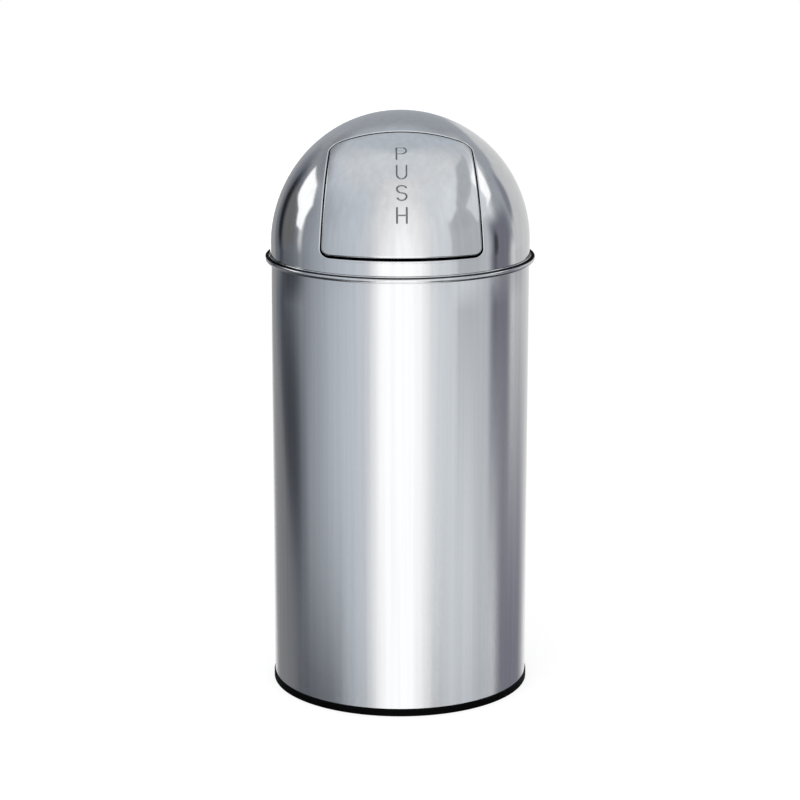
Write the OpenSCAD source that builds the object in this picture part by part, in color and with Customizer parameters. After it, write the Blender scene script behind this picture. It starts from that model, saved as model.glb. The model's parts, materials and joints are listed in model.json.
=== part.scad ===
// Dome top waste receptacle: a round stainless steel floor bin. A dome lid with a sprung
// push flap lifts off the body, and a galvanised bucket with a carry handle lifts out.
// Millimetres, Z up, origin in the middle of the foot ring's underside, front towards -Y.
// Angles on the dome are turned about the X direction: 0 faces the front, 90 faces up.

/* [Overall] */
// Height from the floor to the top of the dome
total_h = 660; // [560:1:760]
// Outer radius of the dome
dome_r = 146; // [135:0.5:160]
// How much smaller the body's radius is than the dome's
dome_step = 0.5; // [0.3:0.1:1]

/* [Sheet steel] */
// Thickness of the body's and dome's sheet
sheet = 0.7; // [0.6:0.05:0.9]
// Thickness of the bucket's sheet
liner_sheet = 0.8; // [0.6:0.05:1]
// Thickness of the collar under the dome
collar_sheet = 0.8; // [0.6:0.05:1]

/* [Body rim] */
// Radius of the rolled bead round the body's mouth
rim_bead_r = 1.9; // [1.5:0.05:2.2]
// How far the bead's middle stands out from the body
rim_reach = 4.6; // [4.2:0.1:5.5]
// How far the bead's middle lies below the ledge that carries the lid
rim_drop = 1; // [0.8:0.05:1.4]

/* [Foot] */
// Height of the foot ring
foot_h = 8.5; // [7:0.5:12]
// Thickness of the foot ring's outer lip
foot_lip = 1.1; // [0.8:0.1:2]
// Thickness of the foot ring under the body
foot_floor = 2.5; // [2:0.5:4]
// Width of the foot ring's tread inside the body
foot_tread = 5; // [3:0.5:8]
// Height of the foot ring's inner lip
foot_inner_h = 6; // [4:0.5:7]
// Height of the base plate's underside above the floor
base_z = 12; // [10:0.5:20]

/* [Dome lid] */
// Height of the straight skirt between the dome and its bead
skirt_h = 15.3; // [12:0.1:20]
// Radius of the bead at the skirt's foot
dome_bead_r = 1.2; // [1:0.05:1.4]
// How far the collar reaches down into the body, below the bead's middle
collar_depth = 24.7; // [15:0.1:26]
// Height of the collar's band that is welded to the skirt
collar_band = 9.5; // [6:0.5:9.5]

/* [Flap opening] */
// Angle of the opening's lower edge on the dome
open_low_angle = 1.1; // [1:0.1:4]
// Angle of the opening's upper edge in the middle
open_top_angle = 64; // [58:0.5:65]
// How much further up the dome the upper corners lie, as an angle
top_rise = 2.4; // [0:0.1:3]
// Half width of the opening at its lower edge, as a share of the dome's radius
lower_w_share = 0.609; // [0.5:0.001:0.62]
// Half width of the opening at its upper edge, as a share of the dome's radius
upper_w_share = 0.531; // [0.45:0.001:0.54]
// How much the sides bow out at mid height, as a share of the half width
side_bow_share = 0.014; // [0:0.001:0.03]
// Radius of the lower corners
low_corner = 10; // [8:0.5:16]
// Radius of the upper corners
top_corner = 12; // [8:0.5:18]
// Depth of the opening's turned-in edge
open_flange = 3; // [2:0.5:3]
// Angle at which the edges of flap and opening are punched and turned in
punch_angle = 33; // [25:1:40]

/* [Flap] */
// Gap under the flap
low_gap = 3; // [2.5:0.1:4]
// Gap at each side of the flap
side_gap = 1.3; // [1:0.1:2]
// Gap above the flap
top_gap = 1.6; // [1.2:0.1:2.5]
// Depth of the flap's turned-in edge
flap_flange = 5; // [4.8:0.1:5.5]

/* [Flap hinge] */
// Depth of the hinge rod's middle below the dome's outer surface, as a share of its radius
hinge_depth_share = 0.219; // [0.215:0.001:0.225]
// Angle of the hinge rod on the dome
hinge_angle = 67.5; // [67:0.1:69]
// Radius of the hinge rod
rod_r = 2.5; // [2:0.1:3]
// How far the hinge rod stands out past its brackets
rod_tail = 4.5; // [3.5:0.1:4.5]
// Distance from the middle to the brackets, as a share of the dome's radius
bracket_share = 0.48; // [0.475:0.001:0.482]
// Thickness of the brackets
bracket_t = 1.5; // [1.2:0.1:1.6]
// How far the flap's ears lie inside the brackets
ear_inset = 8; // [7:0.5:10]
// Thickness of the flap's ears
ear_t = 1.2; // [1:0.1:1.6]
// Radius of the eyes in brackets and ears
eye_r = 6; // [5:0.1:6]
// Running clearance between the rod and the flap's ears, on the radius
run_gap = 0.05; // [0.02:0.01:0.1]
// Wall of the bushes in the brackets
bush_wall = 1.1; // [0.8:0.1:1.3]
// Wall of the spacer that each bush carries
spacer_wall = 2; // [1.5:0.1:2.4]
// Play between a spacer and the flap's ear
side_play = 0.3; // [0.2:0.05:0.5]
// Wall and end thickness of the caps on the rod's ends
cap_wall = 1.5; // [1:0.1:2]
// Angles on the dome where a flap ear is welded
ear_angles = [48, 59];
// Angles on the dome where a bracket is welded
bracket_angles = [73, 83];
// Width of the welding tabs of ears and brackets
weld_tab = 10; // [6:0.5:12]
// Gap that the welds leave between a tab and the sheet
weld_gap = 0.05; // [0.03:0.01:0.1]

/* [Return spring] */
// Radius of the spring's wire
wire_r = 0.75; // [0.6:0.05:0.9]
// Mean radius of the spring's coil
coil_r = 5; // [4.6:0.1:5.5]
// Number of turns in the coil
coil_count = 8; // [6:1:10]
// Pitch of the coil
coil_pitch = 2.2; // [2:0.1:2.4]

/* [Flap stops] */
// Lowest and highest angle of a stop tab on the dome
stop_angles = [20, 30];
// How far a stop tab reaches past the flap's edge
stop_reach = 12; // [10:0.5:12]
// Thickness of a stop tab
stop_t = 1.2; // [1:0.1:1.4]
// Clearance between a stop tab and the opening's turned-in edge
stop_gap = 0.4; // [0.3:0.05:0.5]
// Radius of the rubber bumper on a stop tab
bumper_r = 3.8; // [3:0.1:4]

/* [Bucket] */
// Gap between the bucket's wall and the body's inner face
liner_gap = 16.5; // [13:0.1:18]
// Radius of the bucket's rolled rim
liner_bead_r = 2; // [1.5:0.1:2.2]
// Height of the bucket's rim below the collar
liner_drop = 18; // [17:0.5:30]
// Height of the bucket's raised floor above its lower edge
liner_recess = 5; // [3:0.5:8]

/* [Bucket handle] */
// Radius of the handle's wire
bail_wire_r = 2; // [1.8:0.1:2.2]
// How far the heads of the handle's pivots stand out past the wire
bail_head = 1; // [0.8:0.1:1.5]
// Radius of the grip
grip_r = 5; // [4.5:0.1:6]
// Half of the angle that the grip covers on the handle
grip_half_angle = 20; // [15:1:25]
// Clearance between the handle and what it passes or rests on
bail_gap = 0.4; // [0.3:0.05:0.6]
// Half width of the handle's ears on the bucket
lug_half_w = 11; // [9:0.5:13]
// Length of the ears below the handle's pivot
lug_h = 28; // [22:1:34]
// Thickness of the handle's ears
lug_t = 1.4; // [1.2:0.1:1.6]
// Radius of the ears' rounded heads
lug_head_r = 7.5; // [6:0.1:8]
// Radius of the rivets' shanks
rivet_r = 2; // [1.5:0.1:2.5]
// Radius of the rivets' heads
rivet_head_r = 3.6; // [3:0.1:4]
// Thickness of the rivets' heads
rivet_head_t = 1.2; // [0.8:0.1:1.4]

/* [Hidden] */

$fn = 96;
// Overrun of every cutting shape
over = 2;
// Gap between pieces of different bodies where one rests on the other
seat = 0.3;
// Distance kept between edges that lie side by side
margin = 2;
// How far the dome's solid bead reaches inside its skirt
bead_bite = 0.1;

// Body and foot
body_r = dome_r - dome_step;
body_in = body_r - sheet;
dome_z = total_h - dome_r;
dome_in = dome_r - sheet;
dome_bead_z = dome_z - skirt_h;
ledge_z = dome_bead_z - dome_bead_r - seat;
rim_bead_z = ledge_z - rim_drop;
rim_bead_at = body_r + rim_reach;
foot_r = body_r + foot_lip;
base_top = base_z + liner_sheet;
base_flange_in = body_in - liner_sheet;

// Collar: the welded band lies on the skirt, the plug slides into the body
plug_clear = 0.4;
collar_r = body_in - plug_clear;
collar_low = dome_bead_z - collar_depth;
collar_top = dome_z - margin;
collar_step_z = collar_top - collar_band;

// Flap opening, measured along the dome's surface
open_len = dome_r * (open_top_angle - open_low_angle) * PI / 180;
lower_w = dome_r * lower_w_share;
upper_w = dome_r * upper_w_share;
side_slant = atan((lower_w - upper_w) / open_len);
// Steps on half an edge, on a side and on a corner of the opening's outline
edge_steps = 6;
side_steps = 6;
corner_steps = 5;

// Hinge line, measured from the dome's middle
hinge_at = dome_r * (1 - hinge_depth_share);
bracket_x = dome_r * bracket_share;
ear_x = bracket_x - ear_inset;
rod_half = bracket_x + bracket_t + rod_tail;
hinge_y = -hinge_at * cos(hinge_angle);
hinge_z = hinge_at * sin(hinge_angle);
bush_r = rod_r + bush_wall;
spacer_in = ear_x + ear_t + side_play;
cap_from = bracket_x + bracket_t + side_play;

// Return spring: where its legs leave the coil, as turns about the rod
coil_half = coil_pitch * coil_count / 2;
dome_leg_angle = 150;
flap_leg_angle = 90 + 360 * coil_count;
turn_steps = 14;
wire_sides = 8;
leg_end_r = dome_in - wire_r - seat;

// Flap stops, on spheres about the dome's middle
stop_top_r = dome_r - open_flange - stop_gap;
bumper_angle = (stop_angles[0] + stop_angles[1]) / 2;
bumper_x = lower_w + bumper_r + sheet;

// Bucket and handle
liner_r = body_in - liner_gap;
liner_in = liner_r - liner_sheet;
liner_low = base_top + seat;
liner_top = collar_low - liner_drop;
liner_bead_at = liner_r + liner_bead_r - liner_sheet / 2;
bail_at = liner_bead_at;
bail_z = liner_top + bail_wire_r + bail_gap;
bail_tilt = asin((grip_r - bail_wire_r) / bail_at);
lug_in = liner_in - lug_t;
lug_low = bail_z - lug_h;
rivet_z = lug_low + rivet_head_r + margin;
rivet_angle = 3;
bail_end = lug_in - margin;

echo(str("least gap between the spring's turns ", coil_pitch - 2 * wire_r, " mm"));

// Plain shapes

// A tube between two radii and two heights
module band(r_out, r_in, z_from, z_to) {
    translate([0, 0, z_from])
        difference() {
            cylinder(r = r_out, h = z_to - z_from);
            translate([0, 0, -over])
                cylinder(r = r_in, h = z_to - z_from + 2 * over);
        }
}

// A round bead that runs round the bin
module bead(at, r, z) {
    translate([0, 0, z])
        rotate_extrude()
            translate([at, 0])
                circle(r = r, $fn = 32);
}

// A ball about the dome's middle
module ball(r) {
    translate([0, 0, dome_z])
        sphere(r = r);
}

// A shell about the dome's middle
module ball_shell(r_out, r_in) {
    difference() {
        ball(r_out);
        ball(r_in);
    }
}

// Outline drawn in a plane across the X direction, from x_from to x_to
module across(x_from, x_to) {
    translate([x_from, 0, dome_z])
        rotate([90, 0, 90])
            linear_extrude(height = x_to - x_from)
                children();
}

// A round bar along the X direction, on the hinge line
module on_hinge(r, x_from, x_to) {
    translate([x_from, hinge_y, dome_z + hinge_z])
        rotate([0, 90, 0])
            cylinder(r = r, h = x_to - x_from, $fn = 48);
}

// The left piece of a pair is the right one mirrored
module left() {
    mirror([1, 0, 0])
        children();
}

// Flap opening

// Point at a distance and an angle from the dome's middle, seen from the side
function polar(r, angle) = [-r * cos(angle), r * sin(angle)];

// Straight side of the opening at a height along the dome, drawn in by a gap
function side_at(up, gap) = lower_w - gap - (lower_w - upper_w) * up / open_len;

function corner_mid(up, r, gap) = [side_at(up, gap) - r / cos(side_slant), up];

function arc(mid, r, from, to) =
    [for (i = [0 : corner_steps]) mid + r * [cos(from + (to - from) * i / corner_steps),
                                             sin(from + (to - from) * i / corner_steps)]];

// Right half of the opening on the unrolled dome, drawn in by a gap on each edge
function flat_half(low, side, top) =
    let (r_low = low_corner - side, r_top = top_corner - side,
         low_mid = corner_mid(low + r_low, r_low, side),
         top_mid = corner_mid(open_len - top - r_top, r_top, side),
         low_arc = arc(low_mid, r_low, -90, side_slant),
         top_arc = arc(top_mid, r_top, side_slant, 90),
         side_from = low_arc[corner_steps], side_to = top_arc[0])
    concat([for (i = [0 : edge_steps - 1]) [low_mid[0] * i / edge_steps, low]],
           low_arc,
           [for (i = [1 : side_steps - 1]) side_from + (side_to - side_from) * i / side_steps],
           top_arc,
           [for (i = [edge_steps - 1 : -1 : 0]) [top_mid[0] * i / edge_steps, open_len - top]]);

// Place of an unrolled point on the dome, seen along the punch
function on_punch(p) =
    let (up = p[1] / open_len,
         x = p[0] * (1 + side_bow_share * (1 - pow(2 * up - 1, 2))),
         angle = open_low_angle + up * (open_top_angle - open_low_angle)
                 + top_rise * up * pow(p[0] / upper_w, 2))
    [x, sqrt(dome_r * dome_r - x * x) * sin(angle - punch_angle)];

function mirrored(half) = [for (i = [len(half) - 2 : -1 : 1]) [-half[i][0], half[i][1]]];

// Solid that the opening's outline sweeps along the punch, drawn in by a gap on each edge
module punch(low, side, top) {
    half = flat_half(low, side, top);
    translate([0, 0, dome_z])
        rotate([90 - punch_angle, 0, 0])
            linear_extrude(height = dome_r + over)
                polygon([for (p = concat(half, mirrored(half))) on_punch(p)]);
}

// Outline of the flap, drawn in further by an inset
module flap_punch(inset) {
    punch(low_gap + inset, side_gap + inset, top_gap + inset);
}

// Body

module body_tube() {
    color("silver") {
        band(body_r, body_in, foot_floor, ledge_z);
        band(rim_bead_at, body_in, ledge_z - sheet, ledge_z);
        bead(rim_bead_at, rim_bead_r, rim_bead_z);
    }
}

module base_plate() {
    color("gainsboro") {
        translate([0, 0, base_z])
            cylinder(r = body_in, h = liner_sheet);
        band(body_in, base_flange_in, foot_floor, base_z);
    }
}

module base_ring() {
    color("black") {
        band(foot_r, body_r, 0, foot_h);
        band(foot_r, base_flange_in - foot_tread, 0, foot_floor);
        band(base_flange_in, base_flange_in - foot_lip, 0, foot_inner_h);
    }
}

// Dome lid

module dome_wall() {
    difference() {
        union() {
            intersection() {
                ball(dome_r);
                translate([0, 0, dome_z])
                    cylinder(r = dome_r + over, h = dome_r + over);
            }
            translate([0, 0, dome_bead_z])
                cylinder(r = dome_r, h = skirt_h);
        }
        ball(dome_in);
        translate([0, 0, dome_bead_z - over])
            cylinder(r = dome_in, h = skirt_h + over);
    }
    bead(dome_in + dome_bead_r - bead_bite, dome_bead_r, dome_bead_z);
}

module dome_shell() {
    color("silver")
        difference() {
            union() {
                dome_wall();
                intersection() {
                    ball(dome_r - sheet / 2);
                    punch(-sheet, -sheet, -sheet);
                }
            }
            ball(dome_r - open_flange);
            punch(0, 0, 0);
        }
}

module dome_collar() {
    color("gainsboro") {
        band(dome_in, dome_in - collar_sheet, collar_step_z, collar_top);
        band(dome_in, collar_r - collar_sheet, collar_step_z, collar_step_z + collar_sheet);
        band(collar_r, collar_r - collar_sheet, collar_low, collar_step_z + collar_sheet);
    }
}

// Flap hinge

// A sheet arm with an eye on the hinge line, welded to the inside of the dome or flap
module hinge_arm(x_from, t, bore_r, weld, tab_x) {
    reach = sqrt(dome_in * dome_in - x_from * x_from) + over;
    mid = polar(reach, (weld[0] + weld[1]) / 2);
    along = mid - [hinge_y, hinge_z];
    square_to = eye_r * [-along[1], along[0]] / norm(along);
    // The side of the eye that faces the higher angle
    side = square_to[1] + square_to[0] > 0 ? 1 : -1;
    difference() {
        intersection() {
            ball(dome_in - weld_gap);
            union() {
                on_hinge(eye_r, x_from, x_from + t);
                across(x_from, x_from + t)
                    polygon([[hinge_y, hinge_z] + side * square_to,
                             polar(reach, weld[1]), polar(reach, weld[0]),
                             [hinge_y, hinge_z] - side * square_to]);
                difference() {
                    across(tab_x, x_from + t)
                        polygon([[0, 0], polar(dome_r + over, weld[1]), polar(dome_r + over, weld[0])]);
                    ball(dome_in - t);
                }
            }
        }
        on_hinge(bore_r, x_from - over, x_from + t + over);
    }
}

module hinge_bracket() {
    color("silver")
        hinge_arm(bracket_x, bracket_t, bush_r, bracket_angles, bracket_x - weld_tab);
}

module flap_ear() {
    color("silver")
        hinge_arm(ear_x, ear_t, rod_r + run_gap, ear_angles, ear_x - weld_tab);
}

// Nylon bush in the bracket's eye, with the spacer that keeps the flap in the middle
module hinge_bush() {
    color("white")
        difference() {
            union() {
                on_hinge(rod_r + spacer_wall, spacer_in, bracket_x);
                on_hinge(bush_r, bracket_x, bracket_x + bracket_t);
            }
            on_hinge(rod_r, spacer_in - over, bracket_x + bracket_t + over);
        }
}

module hinge_rod() {
    color("gray")
        on_hinge(rod_r, -rod_half, rod_half);
}

module rod_cap() {
    color("black")
        difference() {
            on_hinge(rod_r + cap_wall, cap_from, rod_half + cap_wall);
            on_hinge(rod_r, cap_from - over, rod_half);
        }
}

// Return spring: one wire from the dome, round the rod and out to the back of the flap

function coil_point(turn, x) = [x, hinge_y + coil_r * cos(turn), hinge_z + coil_r * sin(turn)];

// End of a leg that leaves the coil straight and stops at the dome's or flap's inner face
function leg_end(turn, x, way) =
    let (from = [hinge_y + coil_r * cos(turn), hinge_z + coil_r * sin(turn)],
         dir = way * [-sin(turn), cos(turn)],
         along = from * dir,
         len = -along + sqrt(along * along - from * from + leg_end_r * leg_end_r - x * x))
    [x, from[0] + len * dir[0], from[1] + len * dir[1]];

spring_path = concat(
    [leg_end(dome_leg_angle, -coil_half, -1)],
    [for (i = [0 : coil_count * turn_steps])
        let (share = i / (coil_count * turn_steps))
        coil_point(dome_leg_angle + (flap_leg_angle - dome_leg_angle) * share,
                   coil_half * (2 * share - 1))],
    [leg_end(flap_leg_angle, coil_half, 1)]);

function unit(v) = v / norm(v);

// Ring of points square to the wire at one place on its path
function wire_ring(path, i) =
    let (before = path[max(i - 1, 0)], after = path[min(i + 1, len(path) - 1)],
         ahead = unit(after - before),
         out = unit([1, 0, 0] - ahead * ahead[0]),
         up = cross(ahead, out))
    [for (k = [0 : wire_sides - 1])
        path[i] + wire_r * (out * cos(360 * k / wire_sides) + up * sin(360 * k / wire_sides))];

module return_spring() {
    rings = len(spring_path);
    points = [for (i = [0 : rings - 1]) each wire_ring(spring_path, i)];
    walls = [for (i = [0 : rings - 2], k = [0 : wire_sides - 1])
                let (a = i * wire_sides + k, b = i * wire_sides + (k + 1) % wire_sides)
                each [[a, b, a + wire_sides], [b, b + wire_sides, a + wire_sides]]];
    last = (rings - 1) * wire_sides;
    ends = [for (k = [1 : wire_sides - 2]) each [[0, k + 1, k], [last, last + k, last + k + 1]]];
    color("dimgray")
        translate([0, 0, dome_z])
            polyhedron(points = points, faces = concat(walls, ends));
}

// Flap

module flap_panel() {
    color("silver")
        difference() {
            intersection() {
                ball(dome_r);
                flap_punch(0);
            }
            ball(dome_r - flap_flange);
            intersection() {
                ball(dome_in);
                flap_punch(sheet);
            }
        }
}

// Tab on the flap's turned-in edge that reaches behind the dome
module flap_stop() {
    color("silver")
        difference() {
            intersection() {
                ball_shell(stop_top_r, stop_top_r - stop_t);
                across(upper_w, lower_w + stop_reach)
                    polygon([[0, 0], polar(dome_r, stop_angles[1]), polar(dome_r, stop_angles[0])]);
            }
            flap_punch(0);
        }
}

module flap_bumper() {
    color("black")
        intersection() {
            ball_shell(dome_in - seat, stop_top_r);
            translate([0, 0, dome_z])
                rotate([90 - bumper_angle, 0, 0])
                    rotate([0, asin(bumper_x / dome_r), 0])
                        cylinder(r = bumper_r, h = dome_r, $fn = 48);
        }
}

// Bucket

// Holes for the rivets of both handle ears
module rivet_shanks(r, r_from, r_to) {
    for (side = [0, 180], turn = [-rivet_angle, rivet_angle])
        rotate([0, 0, side + turn])
            translate([r_from, 0, rivet_z])
                rotate([0, 90, 0])
                    cylinder(r = r, h = r_to - r_from, $fn = 32);
}

module liner_shell() {
    color("lightgray")
        difference() {
            union() {
                band(liner_r, liner_in, liner_low, liner_top - liner_bead_r);
                bead(liner_bead_at, liner_bead_r, liner_top - liner_bead_r);
            }
            rivet_shanks(rivet_r, lug_in - over, liner_r + over);
        }
}

module liner_base() {
    color("lightgray") {
        translate([0, 0, liner_low + liner_recess])
            cylinder(r = liner_in, h = liner_sheet);
        band(liner_in, liner_in - liner_sheet, liner_low, liner_low + liner_recess);
    }
}

module liner_ear() {
    color("lightgray")
        difference() {
            intersection() {
                band(liner_in, lug_in, lug_low, bail_z + lug_head_r);
                union() {
                    translate([bail_end, -lug_half_w, lug_low])
                        cube([liner_r - bail_end, 2 * lug_half_w, lug_h - lug_head_r]);
                    translate([bail_end, -lug_head_r, lug_low])
                        cube([liner_r - bail_end, 2 * lug_head_r, lug_h]);
                    translate([bail_end, 0, bail_z])
                        rotate([0, 90, 0])
                            cylinder(r = lug_head_r, h = liner_r - bail_end, $fn = 48);
                }
            }
            rivet_shanks(rivet_r, bail_end, liner_r + over);
            translate([bail_end, 0, bail_z])
                rotate([0, 90, 0])
                    cylinder(r = bail_wire_r + run_gap, h = liner_r - bail_end, $fn = 48);
        }
}

module liner_rivets() {
    color("gray") {
        rivet_shanks(rivet_r, lug_in - rivet_head_t, liner_r + rivet_head_t);
        intersection() {
            rivet_shanks(rivet_head_r, lug_in - rivet_head_t, lug_in + over);
            cylinder(r = lug_in, h = total_h);
        }
        difference() {
            rivet_shanks(rivet_head_r, liner_r - over, liner_r + rivet_head_t);
            cylinder(r = liner_r, h = total_h);
        }
    }
}

// Bucket handle

// A bent bar of the handle that covers an angle at each side of its middle
module bail_arc(r, half_angle) {
    translate([0, 0, bail_z])
        rotate([bail_tilt, 0, 0])
            rotate([0, 0, 90 - half_angle])
                rotate_extrude(angle = 2 * half_angle)
                    translate([bail_at, 0])
                        circle(r = r, $fn = 32);
}

// Bent-in end of the handle's wire, with the head that keeps it in its ear
module bail_pivot() {
    translate([bail_end, 0, bail_z])
        rotate([0, 90, 0]) {
            cylinder(r = bail_wire_r, h = bail_at - bail_end, $fn = 32);
            translate([0, 0, -bail_wire_r])
                cylinder(r = bail_wire_r + bail_head, h = bail_wire_r, $fn = 32);
        }
}

module bail_wire() {
    color("gray") {
        bail_arc(bail_wire_r, 90 + asin(bail_gap / bail_at));
        bail_pivot();
        left()
            bail_pivot();
    }
}

module bail_grip() {
    color("black")
        difference() {
            bail_arc(grip_r, grip_half_angle);
            bail_arc(bail_wire_r, grip_half_angle + over);
        }
}

body_tube();
base_plate();
base_ring();
dome_shell();
dome_collar();
left() hinge_bracket();  // hinge_bracket_left
hinge_bracket();  // hinge_bracket_right
left() hinge_bush();  // hinge_bush_left
hinge_bush();  // hinge_bush_right
hinge_rod();
left() rod_cap();  // rod_cap_left
rod_cap();  // rod_cap_right
return_spring();
flap_panel();
left() flap_ear();  // flap_ear_left
flap_ear();  // flap_ear_right
left() flap_stop();  // flap_stop_left
flap_stop();  // flap_stop_right
left() flap_bumper();  // flap_bumper_left
flap_bumper();  // flap_bumper_right
liner_shell();
liner_base();
left() liner_ear();  // liner_ear_left
liner_ear();  // liner_ear_right
liner_rivets();
bail_wire();
bail_grip();
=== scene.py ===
"""Looks of a dome top waste receptacle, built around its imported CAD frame.

Sizes are in millimetres and angles in degrees, and a mesh goes to metres when it is made.
Z points up from the floor, and the push flap faces -Y. The sheet metal that shows is built
again here with rounded edges and finer curves. The pieces behind it keep their CAD shapes.
"""

import json
import math

import bmesh
import bpy
import numpy as np
from mathutils import Euler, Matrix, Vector


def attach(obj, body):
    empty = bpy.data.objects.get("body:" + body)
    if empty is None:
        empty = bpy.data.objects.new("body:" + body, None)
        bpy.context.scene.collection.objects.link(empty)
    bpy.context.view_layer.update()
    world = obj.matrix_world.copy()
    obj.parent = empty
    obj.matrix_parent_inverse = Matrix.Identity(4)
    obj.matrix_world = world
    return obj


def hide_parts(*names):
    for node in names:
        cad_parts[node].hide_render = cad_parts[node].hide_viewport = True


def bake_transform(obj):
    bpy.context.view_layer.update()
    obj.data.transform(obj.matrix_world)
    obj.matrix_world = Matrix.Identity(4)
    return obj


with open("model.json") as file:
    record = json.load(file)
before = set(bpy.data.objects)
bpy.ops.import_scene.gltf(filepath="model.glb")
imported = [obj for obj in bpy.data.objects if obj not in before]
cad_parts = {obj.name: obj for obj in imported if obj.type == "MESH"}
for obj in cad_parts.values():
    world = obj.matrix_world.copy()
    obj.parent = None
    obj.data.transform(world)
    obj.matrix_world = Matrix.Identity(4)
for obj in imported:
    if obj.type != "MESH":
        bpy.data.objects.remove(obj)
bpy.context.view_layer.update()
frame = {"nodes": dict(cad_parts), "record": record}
nodes = frame["nodes"]

MM = 0.001

# Overall sizes, the same as the CAD part's
TOTAL_H = 660.0
DOME_R = 146.0
SHEET = 0.7
DOME_Z = TOTAL_H - DOME_R
DOME_IN = DOME_R - SHEET
BODY_R = DOME_R - 0.5
BODY_IN = BODY_R - SHEET

# Skirt and bead of the dome, and the ledge that it stands on
SKIRT_H = 15.3
DOME_BEAD_R = 1.2
DOME_BEAD_AT = DOME_IN + DOME_BEAD_R - 0.1
DOME_BEAD_Z = DOME_Z - SKIRT_H
LEDGE_Z = DOME_BEAD_Z - DOME_BEAD_R - 0.3

# Fillet between skirt and bead: its height, and the degrees of the bead that it covers
NECK_FILLET = 0.8
NECK_TUCK = 24.0

# Rolled edge of the body, which hangs lower than it is wide
RIM_BEAD_R = 1.9
RIM_BEAD_AT = BODY_R + 4.6
RIM_BEAD_Z = LEDGE_Z - 1.0
RIM_BEAD_DROP = 1.7
RIM_FILLET = 1.5
MOUTH_ROUND = 0.35

# Weld seam up the back of the body
SEAM_HALF = 1.6
SEAM_H = 0.12

# Angle up round a rolled edge where its painted shade and roughness start, and where they are full.
# The inside of the body gets part of that painted shade and roughness.
SHADE_STARTS = 34.0
SHADE_FULL = 52.0
INSIDE_SHADE = 0.4

# Foot ring
FOOT_H = 8.5
FOOT_R = BODY_R + 1.1
FOOT_FLOOR = 2.5
FOOT_LIP = 1.1
FOOT_LIP_H = 6.0
FLANGE_IN = BODY_IN - 0.8
FOOT_TREAD_IN = FLANGE_IN - 5.0

# Flap opening: angles on the dome, and half widths as in the CAD part
LOW_ANGLE = 1.1
TOP_ANGLE = 64.0
TOP_RISE = 2.4
LOWER_W = DOME_R * 0.609
UPPER_W = DOME_R * 0.531
SIDE_BOW = 0.014
LOW_CORNER = 10.0
TOP_CORNER = 12.0
PUNCH_ANGLE = 33.0
OPEN_FLANGE = 3.0
FLAP_FLANGE = 5.0
LOW_GAP = 3.0
SIDE_GAP = 1.3
TOP_GAP = 1.6
OPEN_LEN = DOME_R * math.radians(TOP_ANGLE - LOW_ANGLE)
SIDE_SLANT = math.atan((LOWER_W - UPPER_W) / OPEN_LEN)

# Rounding of the bent sheet at the edges of flap and opening, measured along the surface
EDGE_REACH = 1.5
EDGE_STEPS = 7

# Pressed letters on the flap
LETTER_W = 12.5
LETTER_H = 19.0
STROKE_HALF = 1.05
STROKE_DEPTH = 0.9
LETTER_ANGLES = {"P": 49.9, "U": 40.1, "S": 30.3, "H": 20.45}

# Half width of the strip with the letters, and the shares of the flap's height where they lie
LETTER_ZONE = 9.6
LETTERS_FROM = 0.16
LETTERS_TO = 0.92

# Share of a stroke's slope, from its edge, over which it turns fully rougher and darker, a painted
# shade
SHADE_SLOPE = 0.4

# Name of the mesh attribute that marks places that are rougher and painted darker, a painted shade
DULL_AND_SHADE = "dull"

# Hinge line and return spring
HINGE_AT = DOME_R * (1 - 0.219)
HINGE_ANGLE = 67.5
HINGE_Y = -HINGE_AT * math.cos(math.radians(HINGE_ANGLE))
HINGE_Z = HINGE_AT * math.sin(math.radians(HINGE_ANGLE))
WIRE_R = 0.75
COIL_R = 5.0
COIL_COUNT = 8
COIL_PITCH = 2.2
COIL_HALF = COIL_PITCH * COIL_COUNT / 2
COIL_STEPS = 28
DOME_LEG_ANGLE = 150.0
FLAP_LEG_ANGLE = 90.0 + 360.0 * COIL_COUNT
LEG_END_R = DOME_IN - WIRE_R - 0.3


# Meshes

SHARP_ANGLE = 38.0


def make_piece(name, points, faces, body, material, replaces):
    """A closed mesh in place of a CAD node, riding on a body if one is named."""
    mesh = bpy.data.meshes.new(name)
    mesh.from_pydata((np.asarray(points) * MM).tolist(), [], faces)
    shape = bmesh.new()
    shape.from_mesh(mesh)
    bmesh.ops.recalc_face_normals(shape, faces=shape.faces)
    shape.to_mesh(mesh)
    shape.free()
    mesh.shade_smooth()
    mesh.set_sharp_from_angle(angle=math.radians(SHARP_ANGLE))
    mesh.materials.append(material)
    piece = bpy.data.objects.new(name, mesh)
    bpy.context.scene.collection.objects.link(piece)
    if body is not None:
        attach(piece, body)
    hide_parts(replaces)
    return piece


def mark_dull(piece, share):
    """Tells the material how much rougher each point is and how much painted shade darkens it."""
    values = np.asarray(share, float)
    piece.data.attributes.new(DULL_AND_SHADE, "FLOAT", "POINT").data.foreach_set("value", values)


def rolled_edge_shade(start, end, steps):
    """Share of roughness and painted shade along a rolled edge, from an angle down to another."""
    angles = np.linspace(start, end, steps + 1)
    return np.clip((angles - SHADE_STARTS) / (SHADE_FULL - SHADE_STARTS), 0, 1)


def ring_faces(rows, around, loop):
    """Four-sided faces over rows of points that each run right round, as index lists."""
    faces = []
    for r in range(rows if loop else rows - 1):
        a, b = r * around, (r + 1) % rows * around
        for k in range(around):
            n = (k + 1) % around
            faces.append((a + k, a + n, b + n, b + k))
    return faces


def arc_points(mid, radius, start, end, steps):
    """Points on an arc in a profile, with angles in degrees."""
    turn = np.radians(np.linspace(start, end, steps + 1))
    return np.column_stack([mid[0] + radius * np.cos(turn), mid[1] + radius * np.sin(turn)])


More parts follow.
